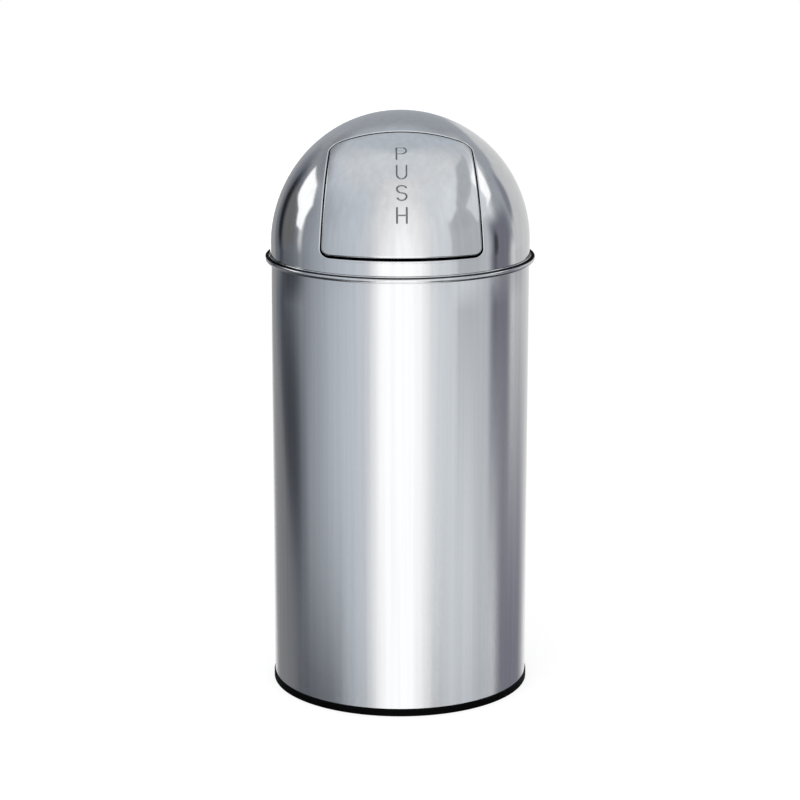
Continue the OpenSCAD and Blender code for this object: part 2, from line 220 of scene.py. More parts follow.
def rounded(corners, steps=4):
    """A closed profile from corners (radius, height, rounding)."""
    places = np.array(corners)[:, :2]
    out = []
    for i, mid in enumerate(places):
        back = places[i - 1] - mid
        ahead = places[(i + 1) % len(places)] - mid
        back /= np.linalg.norm(back)
        ahead /= np.linalg.norm(ahead)
        half = math.acos(np.clip(back @ ahead, -1, 1)) / 2
        reach = corners[i][2] / math.tan(half)
        out.extend(bend(mid + back * reach, mid, mid + ahead * reach, steps))
    return np.array(out)


def bend(start, corner, end, steps):
    """Points of a round bend that leaves start towards corner and arrives at end."""
    start, corner, end = (np.atleast_2d(p).astype(float) for p in (start, corner, end))
    into = start - corner
    out = end - corner
    cosine = np.sum(into * out, 1) / np.linalg.norm(into, axis=1) / np.linalg.norm(out, axis=1)
    weight = np.sqrt((1 - cosine) / 2)[:, None]
    rows = []
    for share in np.linspace(0, 1, steps + 1):
        a, b, c = (1 - share) ** 2, 2 * share * (1 - share) * weight, share ** 2
        rows.append((a * start + b * corner + c * end) / (a + b + c))
    rows = np.array(rows)
    return rows[:, 0] if rows.shape[1] == 1 else rows


def lathe(profile, turns, swell=None):
    """Rows of points of a profile (radius, height) turned about the Z axis."""
    rows = []
    for radius, height in profile:
        out = np.full(len(turns), radius)
        if swell is not None:
            out = out + swell(radius, height, turns)
        rows.append(np.column_stack([out * np.cos(turns), out * np.sin(turns),
                                     np.full(len(turns), height)]))
    return rows


# The flap opening's outline, as (across, up) on the unrolled dome

PUNCH = np.array([0, -math.cos(math.radians(PUNCH_ANGLE)), math.sin(math.radians(PUNCH_ANGLE))])
PUNCH_UP = np.array([0, math.sin(math.radians(PUNCH_ANGLE)), math.cos(math.radians(PUNCH_ANGLE))])


def corner_mid(up, radius, gap):
    side = LOWER_W - gap - (LOWER_W - UPPER_W) * up / OPEN_LEN
    return np.array([side - radius / math.cos(SIDE_SLANT), up])


def half_outline(low, side, top, across, shares, corner_steps):
    """Right half from the lower edge's middle to the upper edge's middle, drawn in by gaps.

    across(length) spreads points over half an edge, and shares spread them over a side."""
    slant = math.degrees(SIDE_SLANT)
    low_r, top_r = LOW_CORNER - side, TOP_CORNER - side
    low_mid = corner_mid(low + low_r, low_r, side)
    top_mid = corner_mid(OPEN_LEN - top - top_r, top_r, side)
    low_arc = arc_points(low_mid, low_r, -90, slant, corner_steps)
    top_arc = arc_points(top_mid, top_r, slant, 90, corner_steps)
    low_x, top_x = across(low_mid[0]), across(top_mid[0])
    return np.vstack([
        np.column_stack([low_x[:-1], np.full(len(low_x) - 1, low)]),
        low_arc,
        low_arc[-1] + shares[1:-1, None] * (top_arc[0] - low_arc[-1]),
        top_arc,
        np.column_stack([top_x[-2::-1], np.full(len(top_x) - 1, OPEN_LEN - top)])])


def both_halves(half):
    return np.vstack([half, half[-2:0:-1] * [-1, 1]])


def on_ball(flat, radius):
    """Unrolled points moved along the punch onto a ball about the dome's middle."""
    up = flat[..., 1] / OPEN_LEN
    x = flat[..., 0] * (1 + SIDE_BOW * (1 - (2 * up - 1) ** 2))
    angle = (LOW_ANGLE + up * (TOP_ANGLE - LOW_ANGLE)
             + TOP_RISE * up * (flat[..., 0] / UPPER_W) ** 2 - PUNCH_ANGLE)
    rise = np.sqrt(DOME_R ** 2 - x ** 2) * np.sin(np.radians(angle))
    depth = np.sqrt(radius ** 2 - x ** 2 - rise ** 2)
    point = rise[..., None] * PUNCH_UP + depth[..., None] * PUNCH
    point[..., 0] += x
    return point


# Dome with its opening

def even(steps):
    return lambda length: np.linspace(0, length, steps + 1)


def build_dome(material):
    """Rows of points from the opening's edge down to the bead, up inside and back."""
    sides = np.linspace(0, 1, 49)
    corner_steps = 10

    def ring(gap, radius):
        half = half_outline(gap, gap, gap, even(26), sides, corner_steps)
        return on_ball(both_halves(half), radius)

    edge = ring(0, DOME_R)
    outer = ring(-EDGE_REACH, DOME_R)
    inner = ring(-SHEET, DOME_IN)
    middle = math.radians(30)
    centre = np.array([0, -math.cos(middle), math.sin(middle)])

    def great_circles(start):
        """For each start point, the direction away from the opening's centre and two angles."""
        unit = start / np.linalg.norm(start, axis=1)[:, None]
        cosine = unit @ centre
        away = unit - cosine[:, None] * centre
        away /= np.linalg.norm(away, axis=1)[:, None]
        return away, np.arccos(cosine), np.arctan2(centre[2], -away[:, 2])

    def on_circles(away, turn, radius):
        return radius * (np.cos(turn)[:, None] * centre + np.sin(turn)[:, None] * away)

    away, start, end = great_circles(outer)
    in_away, in_start, in_end = great_circles(inner)
    # Fine steps beside the opening, then wider ones down to the skirt
    fine = [0.4 / DOME_R, 1.2 / DOME_R, 3.0 / DOME_R]
    rows = [outer]
    rows += [on_circles(away, start + step, DOME_R) for step in fine]
    rows += [on_circles(away, start + fine[-1] + share * (end - start - fine[-1]), DOME_R)
             for share in np.linspace(0, 1, 42)[1:]]
    turns = np.arctan2(rows[-1][:, 1], rows[-1][:, 0])
    neck = math.sqrt(DOME_BEAD_R ** 2 - (DOME_BEAD_AT - DOME_R) ** 2)
    neck_angle = math.degrees(math.atan2(neck, DOME_R - DOME_BEAD_AT))
    foot_angle = -math.degrees(math.acos((DOME_IN - DOME_BEAD_AT) / DOME_BEAD_R))
    bead_turn = (neck_angle - NECK_TUCK, foot_angle, 40)
    bead = arc_points((DOME_BEAD_AT, -SKIRT_H), DOME_BEAD_R, *bead_turn)
    # The skirt runs into the bead in a small fillet
    skirt = [(DOME_R, -SKIRT_H * 0.5), (DOME_R, -SKIRT_H + neck + NECK_FILLET),
             (DOME_R, -SKIRT_H + neck + 0.35), (DOME_R + 0.09, -SKIRT_H + neck + 0.02)]
    inside = [(DOME_IN, -SKIRT_H + 0.9), (DOME_IN, -SKIRT_H * 0.5), (DOME_IN, 0)]
    # The bead's top, in the crease under the skirt, is painted darker as a painted shadow line and
    # made rougher
    dull = np.concatenate([np.zeros(len(rows) + len(skirt)), rolled_edge_shade(*bead_turn)])
    rows += lathe(skirt, turns) + lathe(bead, turns) + lathe(inside, turns)
    for share in np.linspace(0, 1, 30)[1:]:
        mixed = away * (1 - share) + in_away * share
        mixed /= np.linalg.norm(mixed, axis=1)[:, None]
        turn = (end * (1 - share) + in_end * share) * (1 - share) + in_start * share
        rows.append(on_circles(mixed, turn, DOME_IN))
    rows.append(ring(-SHEET, DOME_R - OPEN_FLANGE))
    rows.append(ring(0, DOME_R - OPEN_FLANGE))
    rows += list(bend(edge - PUNCH * EDGE_REACH, edge, outer, EDGE_STEPS))[:-1]
    points = np.vstack(rows) + [0, 0, DOME_Z]
    faces = ring_faces(len(rows), len(outer), True)
    dome = make_piece("dome_skin", points, faces, "dome_lid", material,
                      "dome_shell")
    dull = np.concatenate([dull, np.zeros(len(rows) - len(dull))])
    mark_dull(dome, np.repeat(dull, len(outer)))
    return dome


# Flap with its pressed letters

def letter_strokes():
    """Centre lines of four plain block letters, as pairs of points (across, up)."""
    w, h = LETTER_W / 2 - STROKE_HALF, LETTER_H / 2 - STROKE_HALF
    bowl = h * 0.53
    # The letter S is two open ellipses, one over the other
    ellipse = np.array([w, h / 2])
    upper = arc_points((0, 0), 1, 25, 270, 16) * ellipse + [0, h / 2]
    lower = arc_points((0, 0), 1, 90, -155, 16) * ellipse - [0, h / 2]
    lines = {
        "P": [np.vstack([[(-w, -h), (-w, h)], arc_points((w - bowl, h - bowl), bowl, 90, -90, 12),
                         [(-w, h - 2 * bowl)]])],
        "U": [np.vstack([[(-w, h)], arc_points((0, w - h), w, 180, 360, 16), [(w, h)]])],
        "S": [upper, lower],
        "H": [np.array([(-w, -h), (-w, h)]), np.array([(w, -h), (w, h)]),
              np.array([(-w, 0), (w, 0)])]}
    pairs = []
    for letter, angle in LETTER_ANGLES.items():
        up = DOME_R * math.radians(angle - LOW_ANGLE)
        for line in lines[letter]:
            at = line + [0, up]
            pairs += list(zip(at[:-1], at[1:]))
    return pairs


def stroke_share(flat):
    """1 on the middle line of a stroke, 0 from its edge outwards, at unrolled points."""
    nearest = np.full(flat.shape[:-1], 1e3)
    for a, b in letter_strokes():
        along = b - a
        share = np.clip(((flat - a) @ along) / (along @ along), 0, 1)
        gap = np.linalg.norm(flat - a - share[..., None] * along, axis=-1)
        nearest = np.minimum(nearest, gap)
    return 1 - np.clip(nearest / STROKE_HALF, 0, 1)


def soft_step(share):
    """0 to 1 in a smooth wave."""
    return 0.5 * (1 - np.cos(np.pi * share))


def letter_depth(share):
    return STROKE_DEPTH * soft_step(share)


def build_flap(material):
    """Two patches, outside and inside, joined by the turned-in edge."""
    corner_steps = 12
    # Points lie close together where the letters are
    shares = np.concatenate([np.linspace(0, LETTERS_FROM, 9)[:-1],
                             np.linspace(LETTERS_FROM, LETTERS_TO, 216)[:-1],
                             np.linspace(LETTERS_TO, 1, 5)])

    def across(length):
        return np.concatenate([np.linspace(0, LETTER_ZONE, 25),
                               np.linspace(LETTER_ZONE, length, 22)[1:]])

    def outline(inset):
        return half_outline(LOW_GAP + inset, SIDE_GAP + inset, TOP_GAP + inset, across, shares,
                            corner_steps)

    def ring(inset, radius):
        return on_ball(both_halves(outline(inset)), radius)

    def patch(inset):
        """Unrolled points over the whole flap, from left to right and from low to high."""
        half = outline(inset)
        low_end = len(across(1.0 + LETTER_ZONE)) - 1 + corner_steps // 2
        top_end = len(half) - 1 - low_end
        low = np.vstack([half[low_end:0:-1] * [-1, 1], half[:low_end + 1]])
        top = half[top_end:]
        top = np.vstack([top[:-1] * [-1, 1], top[::-1]])
        right = half[low_end:top_end + 1]
        left = right * [-1, 1]
        u = (low[:, 0] / low[-1, 0] + top[:, 0] / top[-1, 0]) / 4 + 0.5
        v = (right[:, 1] - right[0, 1]) / (right[-1, 1] - right[0, 1])
        u, v = u[:, None, None], v[None, :, None]
        return ((1 - v) * low[:, None] + v * top[:, None]
                + (1 - u) * left[None] + u * right[None]
                - (1 - u) * (1 - v) * low[0] - u * (1 - v) * low[-1]
                - (1 - u) * v * top[0] - u * v * top[-1])

    def patch_faces(first, wide, tall):
        def at(i, k):
            return first + i * tall + k

        return [(at(i, k), at(i + 1, k), at(i + 1, k + 1), at(i, k + 1))
                for i in range(wide - 1) for k in range(tall - 1)]

    def patch_edge(first, wide, tall):
        """Indices along the patch's edge, in the order of the outline."""
        mid = wide // 2
        walk = ([(i, 0) for i in range(mid, wide)] + [(wide - 1, k) for k in range(1, tall)]
                + [(i, tall - 1) for i in range(wide - 2, -1, -1)]
                + [(0, k) for k in range(tall - 2, -1, -1)] + [(i, 0) for i in range(1, mid)])
        return [first + i * tall + k for i, k in walk]

    flat = patch(EDGE_REACH)
    wide, tall = flat.shape[:2]
    share = stroke_share(flat)
    outside = on_ball(flat, DOME_R - letter_depth(share)).reshape(-1, 3)
    inside_flat = patch(SHEET)
    inside_depth = letter_depth(stroke_share(inside_flat))
    inside = on_ball(inside_flat, DOME_IN - inside_depth).reshape(-1, 3)
    edge = ring(0, DOME_R)
    walls = list(bend(ring(EDGE_REACH, DOME_R), edge, edge - PUNCH * EDGE_REACH, EDGE_STEPS))[1:]
    walls += [ring(0, DOME_R - FLAP_FLANGE), ring(SHEET, DOME_R - FLAP_FLANGE)]
    points = np.vstack([outside, inside] + walls) + [0, 0, DOME_Z]
    faces = patch_faces(0, wide, tall) + patch_faces(len(outside), wide, tall)
    first_wall = len(outside) + len(inside)
    around = len(edge)
    loops = [patch_edge(0, wide, tall)]
    loops += [list(range(first_wall + r * around, first_wall + (r + 1) * around))
              for r in range(len(walls))]
    loops.append(patch_edge(len(outside), wide, tall))
    for a, b in zip(loops[:-1], loops[1:]):
        faces += [(a[k], a[(k + 1) % around], b[(k + 1) % around], b[k]) for k in range(around)]
    flap = make_piece("flap_skin", points, faces, "flap", material,
                      "flap_panel")
    dull = np.zeros(len(points))
    # The letter strokes are painted darker towards their middle, a painted shade in the grooves,
    # and made rougher
    dull[:len(outside)] = np.clip(share.ravel() / SHADE_SLOPE, 0, 1)
    mark_dull(flap, dull)
    return flap


# Body tube with its flared rim, and the foot ring

def body_turns():
    """Even steps round the body, with fine ones at the weld seam in the middle of the back."""
    seam = math.radians(90)
    near = math.radians(2.5)
    fine = np.linspace(seam - near, seam + near, 41)
    rest = np.linspace(seam + near, seam - near + 2 * math.pi, 252)[1:-1]
    return np.concatenate([fine, rest])


def seam_swell(radius, height, turns):
    """Height of the ground weld seam up the outside of the body."""
    if abs(radius - BODY_R) > 0.01:
        return np.zeros(len(turns))
    off = np.abs((turns - math.pi / 2 + math.pi) % (2 * math.pi) - math.pi) * BODY_R
    return SEAM_H * soft_step(1 - np.clip(off / SEAM_HALF, 0, 1))


def build_body(material):
    """One profile: up the outside, round the rolled edge, over the ledge and down inside."""
    under = LEDGE_Z - SHEET
    turn_in = math.degrees(math.asin((under - RIM_BEAD_Z) / RIM_BEAD_R))
    turn_out = math.degrees(math.asin((LEDGE_Z - RIM_BEAD_Z) / RIM_BEAD_R))
    straight_top = under - RIM_FILLET
    profile = [(BODY_R, height) for height in np.linspace(FOOT_FLOOR, straight_top, 14)]
    profile += list(arc_points((BODY_R + RIM_FILLET, straight_top), RIM_FILLET, 180, 90, 6))[1:]
    bead_turn = (-180 - turn_in, 180 - turn_out, 60)
    bead = arc_points((RIM_BEAD_AT, RIM_BEAD_Z), RIM_BEAD_R, *bead_turn)
    low = bead[:, 1] < RIM_BEAD_Z
    bead[low, 1] += RIM_BEAD_DROP * (bead[low, 1] - RIM_BEAD_Z) / RIM_BEAD_R
    # The top of the rolled edge, where it meets the dome, is painted darker as a painted shadow
    # line and made rougher
    dull = np.concatenate([np.zeros(len(profile)), rolled_edge_shade(*bead_turn)])
    profile += list(bead)
    profile += list(arc_points((BODY_IN + MOUTH_ROUND, LEDGE_Z - MOUTH_ROUND), MOUTH_ROUND,
                               90, 180, 4))
    profile += [(BODY_IN, height) for height in np.linspace(straight_top, FOOT_FLOOR, 8)]
    turns = body_turns()
    rows = lathe(profile, turns, seam_swell)
    body = make_piece("body_skin", np.vstack(rows), ring_faces(len(rows), len(turns), True),
                      "body", material, "body_tube")
    # The ledge and the inside are painted darker, a painted shade, and made rougher
    dull = np.concatenate([dull, np.full(len(rows) - len(dull), INSIDE_SHADE)])
    mark_dull(body, np.repeat(dull, len(turns)))
    return body


def build_foot(material):
    corners = [(FOOT_R, 0, 0.8), (FOOT_R, FOOT_H, 0.5), (BODY_R, FOOT_H, 0.3),
               (BODY_R, FOOT_FLOOR, 0.1), (FLANGE_IN, FOOT_FLOOR, 0.1),
               (FLANGE_IN, FOOT_LIP_H, 0.3), (FLANGE_IN - FOOT_LIP, FOOT_LIP_H, 0.3),
               (FLANGE_IN - FOOT_LIP, FOOT_FLOOR, 0.3), (FOOT_TREAD_IN, FOOT_FLOOR, 0.6),
               (FOOT_TREAD_IN, 0, 0.8)]
    steps = 256
    turns = np.linspace(0, 2 * math.pi, steps + 1)[:-1]
    rows = lathe(rounded(corners), turns)
    return make_piece("foot_moulding", np.vstack(rows), ring_faces(len(rows), len(turns), True),
                      "body", material, "base_ring")


# Return spring

def build_spring(material):
    def coil(turn, x):
        return np.array([x, HINGE_Y + COIL_R * math.cos(turn), HINGE_Z + COIL_R * math.sin(turn)])

    def leg(turn, x, way):
        """A straight leg that leaves the coil and stops short of the sheet."""
        start = coil(turn, x)
        ahead = way * np.array([0, -math.sin(turn), math.cos(turn)])
        along = start[1:] @ ahead[1:]
        room = LEG_END_R ** 2 - x * x - start[1:] @ start[1:]
        return start + ahead * (-along + math.sqrt(along * along + room))

    first, last = math.radians(DOME_LEG_ANGLE), math.radians(FLAP_LEG_ANGLE)
    path = [leg(first, -COIL_HALF, -1)]
    for share in np.linspace(0, 1, COIL_COUNT * COIL_STEPS + 1):
        path.append(coil(first + (last - first) * share, COIL_HALF * (2 * share - 1)))
    path.append(leg(last, COIL_HALF, 1))
    path = np.array(path)
    sides = 12
    round_about = np.linspace(0, 2 * math.pi, sides + 1)[:-1]
    rings = []
    for i, at in enumerate(path):
        ahead = path[min(i + 1, len(path) - 1)] - path[max(i - 1, 0)]
        ahead /= np.linalg.norm(ahead)
        out = np.array([1.0, 0, 0]) - ahead * ahead[0]
        out /= np.linalg.norm(out)
        up = np.cross(ahead, out)
        rings.append(at + WIRE_R * (np.cos(round_about)[:, None] * out
                                    + np.sin(round_about)[:, None] * up))
    points = np.vstack(rings) + [0, 0, DOME_Z]
    faces = ring_faces(len(rings), sides, False)
    faces += [tuple(range(sides))[::-1], tuple(range(len(points) - sides, len(points)))]
    piece = make_piece("spring_wire", points, faces, None, material,
                       "return_spring")
    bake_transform(piece)
    return piece


# Materials

class Shader:
    """A material's node tree with one Principled shader."""

    def __init__(self, name, color, roughness, metallic=0.0, **fixed):
        self.material = bpy.data.materials.new(name)
        self.material.use_nodes = True
        self.tree = self.material.node_tree
        self.tree.nodes.clear()
        self.out = self.add("ShaderNodeOutputMaterial")
        self.main = self.add("ShaderNodeBsdfPrincipled")
        self.link(self.main.outputs["BSDF"], self.out.inputs["Surface"])
        self.main.inputs["Base Color"].default_value = (*color, 1)
        self.main.inputs["Roughness"].default_value = roughness
        self.main.inputs["Metallic"].default_value = metallic
        for socket, value in fixed.items():
            self.main.inputs[socket.replace("_", " ")].default_value = value
        self.place = self.add("ShaderNodeTexCoord").outputs["Object"]

    def add(self, kind, **settings):
        made = self.tree.nodes.new(kind)
        for name, value in settings.items():
            setattr(made, name, value)
        return made

    def link(self, start, end):
        self.tree.links.new(start, end)

    def scaled(self, scale):
        """Object coordinates stretched by a scale for each direction."""
        node = self.add("ShaderNodeMapping")
        node.inputs["Scale"].default_value = scale
        self.link(self.place, node.inputs["Vector"])
        return node.outputs["Vector"]

    def noise(self, scale, stretch=(1, 1, 1), detail=3.0, roughness=0.5):
        node = self.add("ShaderNodeTexNoise")
        node.inputs["Scale"].default_value = scale
        node.inputs["Detail"].default_value = detail
        node.inputs["Roughness"].default_value = roughness
        self.link(self.scaled(stretch), node.inputs["Vector"])
        return node.outputs["Fac"]

    def cells(self, scale):
        node = self.add("ShaderNodeTexVoronoi")
        node.inputs["Scale"].default_value = scale
        self.link(self.place, node.inputs["Vector"])
        return node.outputs["Color"]

    def spread(self, value, low, high, start=0.3, end=0.7):
        """A value moved from one range to another."""
        node = self.add("ShaderNodeMapRange")
        self.link(value, node.inputs["Value"])
        for name, number in (("From Min", start), ("From Max", end), ("To Min", low),
                             ("To Max", high)):
            node.inputs[name].default_value = number
        return node.outputs["Result"]

    def mixed(self, share, first, second):
        """A colour between two others."""
        node = self.add("ShaderNodeMix", data_type="RGBA")
        self.link(share, node.inputs["Factor"])
        node.inputs[6].default_value = (*first, 1)
        node.inputs[7].default_value = (*second, 1)
        return node.outputs[2]

    def blended(self, share, color, second):
        """A linked colour that goes over to a second one."""
        node = self.add("ShaderNodeMix", data_type="RGBA")
        self.link(share, node.inputs["Factor"])
        self.link(color, node.inputs[6])
        node.inputs[7].default_value = (*second, 1)
        return node.outputs[2]

    def eased(self, share, value, second):
        """A linked number that goes over to a second one."""
        node = self.add("ShaderNodeMix", data_type="FLOAT")
        self.link(share, node.inputs["Factor"])
        self.link(value, node.inputs[2])
        node.inputs[3].default_value = second
        return node.outputs[0]

    def relief(self, height, distance, below=None):
        """A bump whose full height is distance, in metres, over another if there is one."""
        node = self.add("ShaderNodeBump")
        node.inputs["Distance"].default_value = distance
        self.link(height, node.inputs["Height"])
        if below is not None:
            self.link(below, node.inputs["Normal"])
        self.link(node.outputs["Normal"], self.main.inputs["Normal"])
        return node.outputs["Normal"]

    def color(self, output):
        self.link(output, self.main.inputs["Base Color"])

    def rough(self, output):
        self.link(output, self.main.inputs["Roughness"])


# Roughness of the marked places, and how much of their edge-on brightness is left: that loss is
# painted shade
DULL_ROUGHNESS = 0.3
SHADE_SHEEN = 0.1


def stainless(name, low, high, marked=None):
    """Satin stainless sheet with fine horizontal grain, slightly uneven polish and long streaks
    from rolling. marked is the painted shade colour of the marked places, which are also rougher."""
    s = Shader(name, (0.6, 0.605, 0.615), low, metallic=1.0)
    grain = s.noise(900.0, stretch=(0.04, 0.04, 1.0), detail=4.0, roughness=0.6)
    clouds = s.noise(9.0, detail=2.0)
    streaks = s.noise(150.0, stretch=(1, 1, 0.012), detail=3.0)
    pale = s.spread(streaks, 0.0, 1.0, 0.35, 0.65)
    steel = s.mixed(pale, (0.575, 0.582, 0.593), (0.62, 0.626, 0.634))
    rough = s.eased(clouds, s.spread(grain, low, high), high)
    # Marked places get a darker colour and less edge-on brightness, both painted shade, and a
    # higher roughness
    if marked is not None:
        dull = s.add("ShaderNodeAttribute", attribute_name=DULL_AND_SHADE).outputs["Fac"]
        steel = s.blended(dull, steel, marked)
        rough = s.eased(dull, rough, DULL_ROUGHNESS)
        edge_shade = s.mixed(dull, (1, 1, 1), (SHADE_SHEEN, SHADE_SHEEN, SHADE_SHEEN))
        s.link(edge_shade, s.main.inputs["Specular Tint"])
    s.color(steel)
    s.rough(rough)
    waves = s.relief(s.noise(7.0, stretch=(1, 1, 0.45), detail=1.0), 0.00002)
    waves = s.relief(s.noise(55.0, stretch=(1, 1, 0.02), detail=2.0), 0.00006, below=waves)
    s.relief(grain, 0.000002, below=waves)
    return s.material


def galvanised():
    """Zinc coated sheet with its frost-like crystals."""
    s = Shader("galvanised_finish", (0.5, 0.52, 0.53), 0.42, metallic=1.0)
    crystals = s.cells(130.0)
    s.color(s.mixed(crystals, (0.4, 0.42, 0.44), (0.62, 0.64, 0.66)))
    s.rough(s.spread(crystals, 0.34, 0.55, 0.0, 1.0))
    s.relief(s.noise(420.0, detail=3.0), 0.00002)
    return s.material


def plated_wire(name, color):
    """Zinc plated wire and rod, drawn along its length."""
    s = Shader(name, color, 0.3, metallic=1.0)
    spots = s.noise(260.0, detail=4.0)
    s.color(s.mixed(spots, tuple(c * 0.86 for c in color), tuple(min(c * 1.1, 1) for c in color)))
    s.rough(s.spread(spots, 0.24, 0.4))
    s.relief(s.noise(2200.0, detail=2.0), 0.000006)
    return s.material


def moulded(name, dark, pale, low, high, grain=1500.0, height=0.00001, specular=0.5):
    """Moulded plastic or rubber with a fine surface grain."""
    s = Shader(name, dark, low, Specular_IOR_Level=specular)
    spots = s.noise(60.0, detail=4.0)
    s.color(s.mixed(spots, dark, pale))
    s.rough(s.spread(spots, low, high))
    s.relief(s.noise(grain, detail=2.0), height)
    return s.material


# Camera, from a fit to the photograph, in metres, degrees and millimetres of lens and sensor

CAMERA_DISTANCE = 2.9067
CAMERA_HEIGHT = 1.0332
CAMERA_TURN = math.radians(0.85)
CAMERA_PITCH = 13.63
CAMERA_AT = Vector((-CAMERA_DISTANCE * math.sin(CAMERA_TURN),
                    -CAMERA_DISTANCE * math.cos(CAMERA_TURN), CAMERA_HEIGHT))
CAMERA_ANGLES = Euler((math.radians(90 - CAMERA_PITCH), 0, -CAMERA_TURN))
LENS = 117.88
SENSOR = 36.0


def build_camera():
    data = bpy.data.cameras.new("camera")
    data.lens = LENS
    data.sensor_width = SENSOR
    camera = bpy.data.objects.new("camera", data)
    bpy.context.scene.collection.objects.link(camera)
    camera.location = CAMERA_AT
    camera.rotation_euler = CAMERA_ANGLES
    bpy.context.scene.camera = camera


# Studio: white surroundings and floor, and the shapes that the metal reflects

def seen_share(tree, rays):
    """1 for these kinds of ray, 0 for all others."""
    path = tree.nodes.new("ShaderNodeLightPath")
    total = path.outputs[rays[0]]
    for ray in rays[1:]:
        add = tree.nodes.new("ShaderNodeMath")
        add.operation = "MAXIMUM"
        tree.links.new(total, add.inputs[0])
        tree.links.new(path.outputs[ray], add.inputs[1])
        total = add.outputs[0]
    return total


SHOWN_RAYS = ("Is Camera Ray", "Is Glossy Ray", "Is Transmission Ray")
FILL = 0.72
FLOOR_GLOW = 0.77
FLOOR_GREY = 0.35
FLOOR_HALF = 6.0


def build_world():
    """Surroundings that are seen as white, and light the object a little less."""
    world = bpy.data.worlds.new("surroundings")
    bpy.context.scene.world = world
    world.use_nodes = True
    tree = world.node_tree
    tree.nodes.clear()
    out = tree.nodes.new("ShaderNodeOutputWorld")
    mix = tree.nodes.new("ShaderNodeMixShader")
    dim = tree.nodes.new("ShaderNodeBackground")
    dim.inputs["Strength"].default_value = FILL
    white = tree.nodes.new("ShaderNodeBackground")
    for node in (dim, white):
        node.inputs["Color"].default_value = (1, 1, 1, 1)
    tree.links.new(seen_share(tree, SHOWN_RAYS), mix.inputs["Fac"])
    tree.links.new(dim.outputs[0], mix.inputs[1])
    tree.links.new(white.outputs[0], mix.inputs[2])
    tree.links.new(mix.outputs[0], out.inputs["Surface"])


def build_floor():
    """A white floor: part of its white is its own light, so that shadows stay faint."""
    mesh = bpy.data.meshes.new("floor")
    corners = [(FLOOR_HALF * x, FLOOR_HALF * y, 0) for x, y in ((-1, -1), (1, -1), (1, 1), (-1, 1))]
    mesh.from_pydata(corners, [], [(0, 1, 2, 3)])
    floor = bpy.data.objects.new("floor", mesh)
    bpy.context.scene.collection.objects.link(floor)
    material = bpy.data.materials.new("floor_white")
    material.use_nodes = True
    tree = material.node_tree
    tree.nodes.clear()
    out = tree.nodes.new("ShaderNodeOutputMaterial")
    matt = tree.nodes.new("ShaderNodeBsdfDiffuse")
    matt.inputs["Color"].default_value = (FLOOR_GREY, FLOOR_GREY, FLOOR_GREY, 1)
    glow = tree.nodes.new("ShaderNodeEmission")
    gate = tree.nodes.new("ShaderNodeMath")
    gate.operation = "MULTIPLY"
    gate.inputs[1].default_value = FLOOR_GLOW
    tree.links.new(seen_share(tree, SHOWN_RAYS), gate.inputs[0])
    tree.links.new(gate.outputs[0], glow.inputs["Strength"])
    both = tree.nodes.new("ShaderNodeAddShader")
    tree.links.new(matt.outputs[0], both.inputs[0])
    tree.links.new(glow.outputs[0], both.inputs[1])
    tree.links.new(both.outputs[0], out.inputs["Surface"])
    mesh.materials.append(material)
    floor.visible_glossy = False


# Cards lie on balls about a middle, in metres. Each of their faces covers a few degrees.
CARD_MIDDLE = Vector((0, 0, 0.4))
CARD_DISTANCE = 20.0
LAYER_STEP = 0.25
CARD_CELL = 6.0
LEAST_CELLS = 8

# Tints
WHITE = (1, 1, 1)
COOL = (0.945, 1.01, 1.09)
MILD = (0.965, 1.006, 1.05)
NAVY = (0.92, 1.0, 1.18)
PLUM = (0.97, 0.98, 1.18)

# Soft share of an edge that is all but sharp
HARD = 0.001

